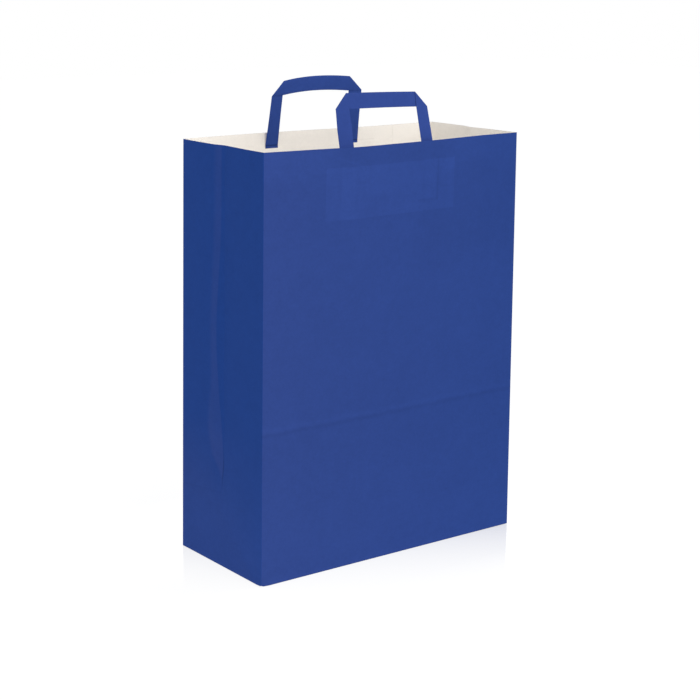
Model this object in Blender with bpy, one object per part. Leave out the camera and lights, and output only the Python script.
"""Paper carrier bag: one folded sheet with a block bottom, and two flat folded handles.

The origin is the middle of the base, on the surface that the bag stands on. X runs along the
front wall, Y from the front wall to the back wall, and Z up. All sizes are in metres.
"""

import math

import bmesh
import bpy
from mathutils import Vector

# The sheet and the box that it is folded into
BAG_WIDTH = 0.320
BAG_DEPTH = 0.140
BAG_HEIGHT = 0.420
SHEET = 0.00015
BASE_FOLD_RADIUS = 0.001
BASE_LAP = 0.024
SEAM_LAP = 0.020
SEAM_FROM_EDGE = 0.036

# Creases that packing flat has left
FRONT_CREASE_HEIGHT = 0.152
CREASE_DEPTH = 0.0006
CREASE_SPREAD = 0.006
GUSSET_TUCK = 0.0032
GUSSET_BAND = 0.014
GUSSET_FADE = 0.040
GUSSET_BULGE = 0.0010
BASE_BULGE = 0.0005

# How the walls of the open bag curve
FRONT_BOW = 0.0105
FRONT_BOW_SHARE = 0.85
BACK_WAVE = 0.0030
BOW_GROWTH = 1.6
LEG_PUSH = 0.0030
LEG_PUSH_SPREAD = 0.028

# How far each corner stands out of square, at the base and at the rim
BASE_STANCE = {
    "front_left": (0.0000, -0.0016),
    "front_right": (-0.0010, -0.0012),
    "back_right": (0.0000, 0.0012),
    "back_left": (-0.0003, 0.0036),
}
RIM_STANCE = {
    "front_left": (0.0038, -0.0030),
    "front_right": (0.0014, 0.0053),
    "back_right": (-0.0025, -0.0007),
    "back_left": (0.0027, -0.0044),
}

# The handles: flat strips of folded paper, turned at 45 degrees at both corners
STRIP_WIDTH = 0.015
STRIP_THICKNESS = 0.0006
HANDLE_TOP_WIDTH = 0.113
HANDLE_REACH = 0.067
HINGE_RADIUS = 0.006
HINGE_ABOVE_PATCH = 0.0030
HINGE_BLEND = 0.020
TURN_HOLD = 0.030
TURN_FADE = 0.025

# The patches that are glued over the handles' legs, inside the walls
PATCH_WIDTH = 0.160
PATCH_HEIGHT = 0.050
PATCH_PAST_LEGS = 0.010
PATCH_EASE = 0.004
PATCH_MARGIN = 0.0025

# Gap between pieces that are glued together
GLUE_GAP = 0.0003

# Where each handle and its patch sit, how wide its legs stand at the hinge, and how the handle
# leans, bows, arches, sways and dips. Each leg is also turned a little on its own length.
HANDLES = {
    "front": {
        "wall": "front",
        "centre": -0.0139,
        "width": 0.1175,
        "patch_centre": -0.0060,
        "patch_drop": 0.0200,
        "lean": math.radians(14.0),
        "lean_change": math.radians(-1.7),
        "bow": 0.0037,
        "arch": 0.0010,
        "sway": -0.008,
        "dip": -0.0020,
        "turn_left": -0.18,
        "turn_right": -0.01,
    },
    "rear": {
        "wall": "back",
        "centre": -0.0019,
        "width": 0.1135,
        "patch_centre": -0.0010,
        "patch_drop": 0.0160,
        "lean": math.radians(9.9),
        "lean_change": math.radians(-2.7),
        "bow": 0.0070,
        "arch": 0.0024,
        "sway": 0.003,
        "dip": 0.0005,
        "turn_left": 0.041,
        "turn_right": 0.044,
    },
}

# How finely the curved sheets are divided
FRONT_SPANS = 28
BACK_SPANS = 11
GUSSET_SPANS = 3
UPPER_ROWS = 9
LOWER_ROWS = 2
BASE_FOLD_STEPS = 2
BAR_SPANS = 8
LEG_SPAN = 0.012
PATCH_SPAN = 0.012

# Colours as (red, green, blue)
PRINTED_BLUE = (0.033, 0.062, 0.270)
HANDLE_BLUE = (0.036, 0.076, 0.300)
INSIDE_WHITE = (0.800, 0.760, 0.700)

INWARD = {
    "front": Vector((0, 1, 0)),
    "right": Vector((-1, 0, 0)),
    "back": Vector((0, -1, 0)),
    "left": Vector((1, 0, 0)),
}
SIDES = ["front", "right", "back", "left"]
SIDE_CORNERS = {
    "front": ("front_left", "front_right"),
    "right": ("front_right", "back_right"),
    "back": ("back_right", "back_left"),
    "left": ("back_left", "front_left"),
}


def clear_scene():
    for item in list(bpy.data.objects):
        bpy.data.objects.remove(item, do_unlink=True)


def smooth_step(value):
    """Ease from 0 to 1 as the value does."""
    value = min(max(value, 0.0), 1.0)
    return value * value * (3 - 2 * value)


def corner(name, height):
    """A vertical fold of the bag at a height: straight from its base corner to its rim corner."""
    x_sign = -1 if name.endswith("left") else 1
    y_sign = -1 if name.startswith("front") else 1
    square = Vector((x_sign * BAG_WIDTH / 2, y_sign * BAG_DEPTH / 2))
    base = square + Vector(BASE_STANCE[name])
    rim = square + Vector(RIM_STANCE[name])
    return base.lerp(rim, height / BAG_HEIGHT)


def front_offset(fraction, height):
    """How far the front wall bows out, at a fraction of its width from the left."""
    across = min(fraction / FRONT_BOW_SHARE, 1.0)
    bow = FRONT_BOW * math.sin(math.pi * across) * (height / BAG_HEIGHT) ** BOW_GROWTH
    leg = HANDLES["front"]["centre"] - HANDLES["front"]["width"] / 2 + STRIP_WIDTH
    away = ((fraction - 0.5) * BAG_WIDTH - leg) / LEG_PUSH_SPREAD
    above = max(height - FRONT_CREASE_HEIGHT, 0.0) / (BAG_HEIGHT - FRONT_CREASE_HEIGHT)
    push = LEG_PUSH * math.exp(-away * away) * above * above
    nearness = max(1 - abs(height - FRONT_CREASE_HEIGHT) / CREASE_SPREAD, 0.0)
    return bow + push - CREASE_DEPTH * nearness


def back_offset(fraction, height):
    """How far the back wall waves out, at a fraction of its width from the right."""
    wave = BACK_WAVE * math.sin(2 * math.pi * fraction) * (height / BAG_HEIGHT) ** BOW_GROWTH
    nearness = max(1 - abs(height - BAG_DEPTH / 2) / CREASE_SPREAD, 0.0)
    return -wave - CREASE_DEPTH * nearness


def gusset_offset(from_centre, height):
    """How far a side panel stands out, at a distance behind its centre crease.

    Above the point where its creases meet, the panel is tucked in along the centre crease.
    Below that point, the triangle between the two diagonal creases bulges a little.
    """
    half = BAG_DEPTH / 2
    away = abs(from_centre)
    below_diagonal = half - away
    if height < half:
        if height >= below_diagonal:
            return 0.0
        return BASE_BULGE * math.sin(math.pi * height / below_diagonal)
    if from_centre <= 0:
        tucked = 1 - away / half
    elif away <= GUSSET_BAND:
        tucked = 1 - 0.9 * away / GUSSET_BAND
    else:
        tucked = 0.1 * (half - away) / (half - GUSSET_BAND)
    bulge = GUSSET_BULGE * math.sin(math.pi * away / half) * height / BAG_HEIGHT
    return bulge - GUSSET_TUCK * tucked * smooth_step((height - half) / GUSSET_FADE)


def wall_point(side, fraction, height):
    """A point of the sheet's outer face."""
    start, end = (corner(name, height) for name in SIDE_CORNERS[side])
    flat = start.lerp(end, fraction)
    if side == "front":
        out = front_offset(fraction, height)
    elif side == "back":
        out = back_offset(fraction, height)
    elif side == "right":
        out = gusset_offset((fraction - 0.5) * BAG_DEPTH, height)
    else:
        out = gusset_offset((0.5 - fraction) * BAG_DEPTH, height)
    return Vector((flat.x, flat.y, height)) - out * INWARD[side]


def seam_depths(fraction):
    """Depths of the back wall's outer and inner faces, where the sheet's two ends overlap.

    The end that comes from the right side panel lies inside, so right of the outer end's free
    edge the outer face steps in, and right of its own free edge the inner face steps in too.
    """
    distance = fraction * BAG_WIDTH
    near_corner = min(distance / SEAM_LAP, 1.0)
    outer = SHEET * near_corner if distance <= SEAM_FROM_EDGE else 0.0
    doubled = distance <= SEAM_FROM_EDGE + SEAM_LAP
    inner = SHEET * (1 + near_corner) if doubled else SHEET
    return outer, inner


def gusset_distances():
    """Distances of a side panel's vertical lines from its centre crease."""
    half = BAG_DEPTH / 2
    spread = (half - GUSSET_BAND) / GUSSET_SPANS
    return [0.0] + [GUSSET_BAND + i * spread for i in range(GUSSET_SPANS + 1)]


def columns():
    """Every vertical line of points round the bag, as a side and a fraction of its width."""
    front = [i / FRONT_SPANS for i in range(FRONT_SPANS)]
    distances = gusset_distances()
    half = BAG_DEPTH / 2
    toward_centre = [(half - d) / BAG_DEPTH for d in reversed(distances)]
    past_centre = [(half + d) / BAG_DEPTH for d in distances[1:-1]]
    gusset = toward_centre + past_centre
    seam_in = SEAM_FROM_EDGE + SEAM_LAP
    seam = [0.0, SEAM_LAP, SEAM_FROM_EDGE, SEAM_FROM_EDGE + SHEET, seam_in, seam_in + SHEET]
    rest = BAG_WIDTH - seam[-1]
    plain = [seam[-1] + rest * i / BACK_SPANS for i in range(1, BACK_SPANS)]
    back = [distance / BAG_WIDTH for distance in seam + plain]
    by_side = {"front": front, "right": gusset, "back": back, "left": gusset}
    return [(side, fraction) for side in SIDES for fraction in by_side[side]]


def row_heights():
    """Heights of the rows above the base fold, with a row on every level crease."""
    half = BAG_DEPTH / 2
    base = [half - d for d in reversed(gusset_distances())][1:]
    below = FRONT_CREASE_HEIGHT - CREASE_SPREAD
    above = FRONT_CREASE_HEIGHT + CREASE_SPREAD
    lower = [half + CREASE_SPREAD]
    step = (below - lower[0]) / LOWER_ROWS
    lower += [lower[0] + step * i for i in range(1, LOWER_ROWS + 1)]
    step = (BAG_HEIGHT - above) / UPPER_ROWS
    upper = [FRONT_CREASE_HEIGHT] + [above + step * i for i in range(UPPER_ROWS + 1)]
    return [BASE_FOLD_RADIUS] + base + lower + upper


def ring(height, inner=False):
    """One level loop of points round the bag, counterclockwise from the front left fold."""
    fold = 0.0
    if height < BASE_FOLD_RADIUS:
        rise = BASE_FOLD_RADIUS - height
        fold = BASE_FOLD_RADIUS - math.sqrt(BASE_FOLD_RADIUS ** 2 - rise ** 2)
    points = []
    for side, fraction in columns():
        depths = seam_depths(fraction) if side == "back" else (0.0, SHEET)
        inset = fold + depths[1 if inner else 0]
        point = wall_point(side, fraction, height) + inset * INWARD[side]
        if fraction == 0.0:
            before = SIDES[SIDES.index(side) - 1]
            point += (fold + (SHEET if inner else 0.0)) * INWARD[before]
        points.append(point)
    return points


def bridge(bm, lower, upper):
    """Faces between two loops of points that lie one above the other."""
    for i, low in enumerate(lower):
        after = (i + 1) % len(lower)
        bm.faces.new((low, lower[after], upper[after], upper[i]))


def crease_gusset_corners(bm, rows):
    """Split the quads of both side panels along the diagonals from the base to the centre."""
    steps = GUSSET_SPANS + 1
    starts = [i for i, (side, _) in enumerate(columns()) if side in ("right", "left")]
    for start in (starts[0], starts[2 * steps]):
        for i in range(steps):
            near = [rows[i][start + i], rows[i + 1][start + i + 1]]
            far = [rows[i][(start + 2 * steps - i) % len(rows[0])],
                   rows[i + 1][start + 2 * steps - i - 1]]
            for pair in (near, far):
                bmesh.ops.connect_vert_pair(bm, verts=pair)


def underside(bm, loop):
    """The folded base: two long flaps lapped over the two short ones, with mitred corners."""
    names = [side for side, _ in columns()]
    first = {side: names.index(side) for side in SIDES}
    at = {name: loop[first[side]] for side, (name, _) in SIDE_CORNERS.items()}
    level = at["front_left"].co.z
    left_depth = (at["back_left"].co.y - at["front_left"].co.y) / 2
    right_depth = (at["back_right"].co.y - at["front_right"].co.y) / 2
    lap = BASE_LAP / 2

    def mitre(name, depth, reach):
        corner_point = at[name].co
        x_step = reach if name == "back_left" else -reach
        return bm.verts.new((corner_point.x + x_step, corner_point.y - reach, level))

    left_meet = mitre("back_left", left_depth, left_depth)
    left_lap = mitre("back_left", left_depth, left_depth + lap)
    right_meet = mitre("back_right", right_depth, right_depth)
    right_lap = mitre("back_right", right_depth, right_depth + lap)

    def edge_run(side):
        start = first[side]
        end = start + names.count(side)
        return [loop[i % len(loop)] for i in range(start, end + 1)]

    free_edge = [left_meet, left_lap, right_lap, right_meet]
    front = bm.faces.new(list(reversed(edge_run("front"))) + free_edge)
    bm.faces.new(list(reversed(edge_run("back"))) + list(reversed(free_edge)))
    left = bm.faces.new(list(reversed(edge_run("left"))) + [left_meet])
    right = bm.faces.new(list(reversed(edge_run("right"))) + [right_meet])
    lifted = lift_faces(bm, [front, left, right])
    long_flap = max(lifted, key=lambda face: len(face.verts))
    lift_faces(bm, [face for face in lifted if face is not long_flap])


def lift_faces(bm, faces):
    """Sink faces of the underside into the base by one thickness of the sheet."""
    result = bmesh.ops.extrude_face_region(bm, geom=faces, use_keep_orig=True)["geom"]
    moved = [item for item in result if isinstance(item, bmesh.types.BMVert)]
    bmesh.ops.translate(bm, vec=(0, 0, SHEET), verts=moved)
    bmesh.ops.delete(bm, geom=faces, context="FACES")
    return [item for item in result if isinstance(item, bmesh.types.BMFace)]


def finish_object(name, bm, materials, inner_faces=()):
    """Turn a finished mesh into an object that is shaded smooth between its creases."""
    inside = {face.index for face in inner_faces}
    bm.normal_update()
    mesh = bpy.data.meshes.new(name)
    bm.to_mesh(mesh)
    bm.free()
    for material in materials:
        mesh.materials.append(material)
    for index in inside:
        mesh.polygons[index].material_index = 1
    mesh.shade_smooth()
    mesh.set_sharp_from_angle(angle=math.radians(8))
    item = bpy.data.objects.new(name, mesh)
    bpy.context.scene.collection.objects.link(item)
    return item


def paper(name, colour, roughness):
    material = bpy.data.materials.new(name)
    material.use_nodes = True
    shader = material.node_tree.nodes["Principled BSDF"]
    shader.inputs["Base Color"].default_value = (*colour, 1.0)
    shader.inputs["Roughness"].default_value = roughness
    shader.inputs["Metallic"].default_value = 0.0
    return material


def bag_body():
    """The folded sheet: four walls with their creases, and a base of glued flaps."""
    bm = bmesh.new()
    floor_height = 3 * SHEET
    fold_heights = [
        BASE_FOLD_RADIUS * (1 - math.sin(math.radians(90 * i / BASE_FOLD_STEPS)))
        for i in range(BASE_FOLD_STEPS, 0, -1)
    ]
    heights = row_heights()
    outer_fold = [[bm.verts.new(p) for p in ring(z)] for z in fold_heights]
    outer = [[bm.verts.new(p) for p in ring(z)] for z in heights]
    inner = [[bm.verts.new(p) for p in ring(z, inner=True)] for z in [floor_height] + heights]
    outer_rows = outer_fold + outer
    for lower, upper in zip(outer_rows, outer_rows[1:]):
        bridge(bm, lower, upper)
    for lower, upper in zip(inner, inner[1:]):
        bridge(bm, upper, lower)
    bridge(bm, outer[-1], inner[-1])
    bm.faces.new(inner[0])
    crease_gusset_corners(bm, outer)
    crease_gusset_corners(bm, inner[1:])
    underside(bm, outer_fold[0])
    bm.faces.index_update()
    bm.normal_update()
    white = [face for face in bm.faces if is_inside(face, floor_height)]
    materials = [
        paper("printed_paper", PRINTED_BLUE, 0.55),
        paper("white_paper", INSIDE_WHITE, 0.7),
    ]
    return finish_object("bag_body", bm, materials, white)


def is_inside(face, floor_height):
    """True for faces of the bag's inside, which look toward its middle or up from its floor."""
    middle = face.calc_center_median()
    if face.normal.z > 0.5:
        return abs(middle.z - floor_height) < SHEET / 2
    level = Vector((middle.x / BAG_WIDTH, middle.y / BAG_DEPTH, 0.0))
    return middle.z > floor_height and face.normal.dot(level) < 0


def inner_face(side, x, height):
    """Y of the front or back wall's inner face."""
    start, end = (corner(name, height) for name in SIDE_CORNERS[side])
    fraction = (x - start.x) / (end.x - start.x)
    inset = seam_depths(fraction)[1] if side == "back" else SHEET
    return wall_point(side, fraction, height).y + inset * INWARD[side].y


def hinge_height(place):
    """Height at which a handle's legs come out from behind their patch."""
    return BAG_HEIGHT - place["patch_drop"] + HINGE_ABOVE_PATCH


def leg_outer(place, reach):
    """Distance of a leg's outer edge from the handle's centre, at a reach from the hinge."""
    narrowing = (place["width"] - HANDLE_TOP_WIDTH) / 2
    return place["width"] / 2 - narrowing * reach / (HANDLE_REACH - STRIP_WIDTH)


def place_handle_point(place, point):
    """Bend a point of the flat handle to its real place.

    The point's x lies along the bag, its y is its depth from the wall, and its z is its reach
    up from the hinge. Below the hinge the strip lies on the wall. Above it, the strip leans in,
    its legs turn, and its bar bows out and arches up between them.
    """
    side = place["wall"]
    inward = INWARD[side].y
    hinge = hinge_height(place)
    x = place["centre"] + point.x
    depth = GLUE_GAP + point.y
    reach = point.z
    if reach <= 0:
        height = hinge + reach
        return Vector((x, inner_face(side, x, height) + inward * depth, height))
    half = place["width"] / 2
    across = point.x / half
    lean = place["lean"] + place["lean_change"] * across
    turned = min(reach / HINGE_RADIUS, lean)
    straight = reach - turned * HINGE_RADIUS
    leaned = HINGE_RADIUS * (1 - math.cos(turned)) + straight * math.sin(turned)
    risen = HINGE_RADIUS * math.sin(turned) + straight * math.cos(turned)
    legs = [inner_face(side, place["centre"] + end, hinge) for end in (-half, half)]
    straight_line = legs[0] + (legs[1] - legs[0]) * (across + 1) / 2
    blend = smooth_step(reach / HINGE_BLEND)
    start = inner_face(side, x, hinge) * (1 - blend) + straight_line * blend
    share = reach / HANDLE_REACH
    bow = place["bow"] * (1 - across * across) * share
    leg_middle = math.copysign((HANDLE_TOP_WIDTH - STRIP_WIDTH) / 2, point.x)
    turn = place["turn_left" if point.x < 0 else "turn_right"] * (point.x - leg_middle)
    turn *= blend * (1 - smooth_step((reach - TURN_HOLD) / TURN_FADE))
    bar_end = HANDLE_TOP_WIDTH / 2 - STRIP_WIDTH
    arch = place["arch"] * max(1 - (point.x / bar_end) ** 2, 0.0)
    y = start + inward * (leaned + depth * math.cos(turned) - bow) + turn
    z = hinge + risen - depth * math.sin(turned) + place["dip"] * across * share + arch
    return Vector((x + place["sway"] * reach, y, z))


def handle(name):
    """A handle: two legs against the wall, and a bar folded over them on the bag's side.

    The strip is laid out flat as legs, folded corners and bar. The legs and corners are given
    the thickness of one layer toward the wall, the corners and bar of one layer away from it,
    so the corners are two layers thick along their 45 degree folds, and the whole is one solid.
    """
    place = HANDLES[name]
    legs_end = -(PATCH_HEIGHT + HINGE_ABOVE_PATCH - PATCH_PAST_LEGS)
    bar_low = HANDLE_REACH - STRIP_WIDTH
    bm = bmesh.new()

    def flat(x, reach):
        return bm.verts.new((x, STRIP_THICKNESS, reach))

    corners, bar_ends = [], []
    for sign in (-1, 1):
        end_out = flat(sign * leg_outer(place, legs_end), legs_end)
        end_in = flat(sign * (leg_outer(place, legs_end) - STRIP_WIDTH), legs_end)
        fold_out = flat(sign * leg_outer(place, bar_low), bar_low)
        fold_in = flat(sign * (leg_outer(place, bar_low) - STRIP_WIDTH), bar_low)
        fold_top = flat(sign * (leg_outer(place, HANDLE_REACH) - STRIP_WIDTH), HANDLE_REACH)
        leg = [end_out, end_in, fold_in, fold_out]
        fold = [fold_out, fold_in, fold_top]
        bm.faces.new(leg if sign < 0 else list(reversed(leg)))
        bm.faces.new(fold if sign < 0 else list(reversed(fold)))
        bar_ends.append((fold_in, fold_top))
    (left_in, left_top), (right_in, right_top) = bar_ends
    bm.faces.new((left_in, right_in, right_top, left_top))

    half_bar = HANDLE_TOP_WIDTH / 2 - STRIP_WIDTH
    leg_rows = math.ceil((bar_low - legs_end) / LEG_SPAN)
    cuts = [((0, 0, legs_end + (bar_low - legs_end) * i / leg_rows), (0, 0, 1))
            for i in range(1, leg_rows)]
    cuts += [((0, 0, HINGE_RADIUS * place["lean"] * i / 2), (0, 0, 1)) for i in range(3)]
    cuts += [((half_bar * (2 * i / BAR_SPANS - 1), 0, 0), (1, 0, 0))
             for i in range(1, BAR_SPANS)]
    middle = HANDLE_TOP_WIDTH / 2 - STRIP_WIDTH / 2
    cuts += [((sign * middle, 0, 0), (1, 0, 0)) for sign in (-1, 1)]
    for point, normal in cuts:
        everything = bm.verts[:] + bm.edges[:] + bm.faces[:]
        bmesh.ops.bisect_plane(bm, geom=everything, plane_co=point, plane_no=normal, dist=1e-6)

    def is_leg(face):
        middle_point = face.calc_center_median()
        return middle_point.z < bar_low

    def is_bar(face):
        middle_point = face.calc_center_median()
        top = leg_outer(place, HANDLE_REACH) - STRIP_WIDTH
        low = leg_outer(place, bar_low) - STRIP_WIDTH
        share = (middle_point.z - bar_low) / STRIP_WIDTH
        return middle_point.z > bar_low and abs(middle_point.x) < low + (top - low) * share

    sheet = bm.faces[:]
    legs = [face for face in sheet if is_leg(face)]
    bar = [face for face in sheet if is_bar(face)]
    folds = [face for face in sheet if face not in legs and face not in bar]
    for region, shift in ((legs + folds, -STRIP_THICKNESS), (folds + bar, STRIP_THICKNESS)):
        result = bmesh.ops.extrude_face_region(bm, geom=region, use_keep_orig=True)["geom"]
        moved = [item for item in result if isinstance(item, bmesh.types.BMVert)]
        bmesh.ops.translate(bm, vec=(0, shift, 0), verts=moved)
    bmesh.ops.delete(bm, geom=folds, context="FACES")
    for vert in bm.verts:
        vert.co = place_handle_point(place, vert.co.copy())
    bmesh.ops.recalc_face_normals(bm, faces=bm.faces[:])
    if bm.calc_volume(signed=True) < 0:
        bmesh.ops.reverse_faces(bm, faces=bm.faces[:])
    return finish_object(name + "_handle", bm, [paper(name + "_handle_paper", HANDLE_BLUE, 0.5)])


def patch_lift(place, x, height):
    """How far a patch stands off the wall: the glue gap, and over a leg the strip as well."""
    centre = abs(x - place["centre"])
    reach = height - hinge_height(place)
    outer = leg_outer(place, reach) + PATCH_MARGIN
    inner = leg_outer(place, reach) - STRIP_WIDTH - PATCH_MARGIN
    beside = max(centre - outer, inner - centre, 0.0)
    legs_end = hinge_height(place) - (PATCH_HEIGHT + HINGE_ABOVE_PATCH - PATCH_PAST_LEGS)
    below = max(legs_end - PATCH_MARGIN - height, 0.0)
    away = math.hypot(beside, below) / PATCH_EASE
    return GLUE_GAP + (STRIP_THICKNESS + GLUE_GAP) * (1 - min(away, 1.0))


def spaced(stops, span):
    """The stops, with evenly spaced values between those that lie further apart than a span."""
    values = []
    for low, high in zip(stops, stops[1:]):
        count = max(math.ceil((high - low) / span), 1)
        values += [low + (high - low) * i / count for i in range(count)]
    return values + [stops[-1]]


def patch(name):
    """The paper patch over a handle's legs, embossed where it passes over them."""
    place = HANDLES[name]
    side = place["wall"]
    top = BAG_HEIGHT - place["patch_drop"]
    legs_end = top - (PATCH_HEIGHT - PATCH_PAST_LEGS)
    middle_reach = (top + legs_end) / 2 - hinge_height(place)
    outer = leg_outer(place, middle_reach) + PATCH_MARGIN
    inner = leg_outer(place, middle_reach) - STRIP_WIDTH - PATCH_MARGIN
    edges = [-outer - PATCH_EASE, -outer, -inner, -inner + PATCH_EASE,
             inner - PATCH_EASE, inner, outer, outer + PATCH_EASE]
    start = place["patch_centre"] - PATCH_WIDTH / 2
    end = place["patch_centre"] + PATCH_WIDTH / 2
    across = spaced([start] + [place["centre"] + edge for edge in edges] + [end], PATCH_SPAN)
    bend = legs_end - PATCH_MARGIN
    up = spaced([top - PATCH_HEIGHT, bend - PATCH_EASE, bend, top], PATCH_SPAN)
    bm = bmesh.new()
    rows = []
    for height in up:
        row = []
        for x in across:
            y = inner_face(side, x, height) + INWARD[side].y * patch_lift(place, x, height)
            row.append(bm.verts.new((x, y, height)))
        rows.append(row)
    for lower, upper in zip(rows, rows[1:]):
        for i in range(len(across) - 1):
            bm.faces.new((lower[i], lower[i + 1], upper[i + 1], upper[i]))
    if side == "back":
        bmesh.ops.reverse_faces(bm, faces=bm.faces[:])
    item = finish_object(name + "_patch", bm, [paper(name + "_patch_paper", INSIDE_WHITE, 0.7)])
    wall = item.modifiers.new("thickness", "SOLIDIFY")
    wall.thickness = SHEET
    wall.offset = -1.0
    wall.use_even_offset = True
    return item


def build():
    clear_scene()
    bag_body()
    for name in HANDLES:
        handle(name)
        patch(name)


build()
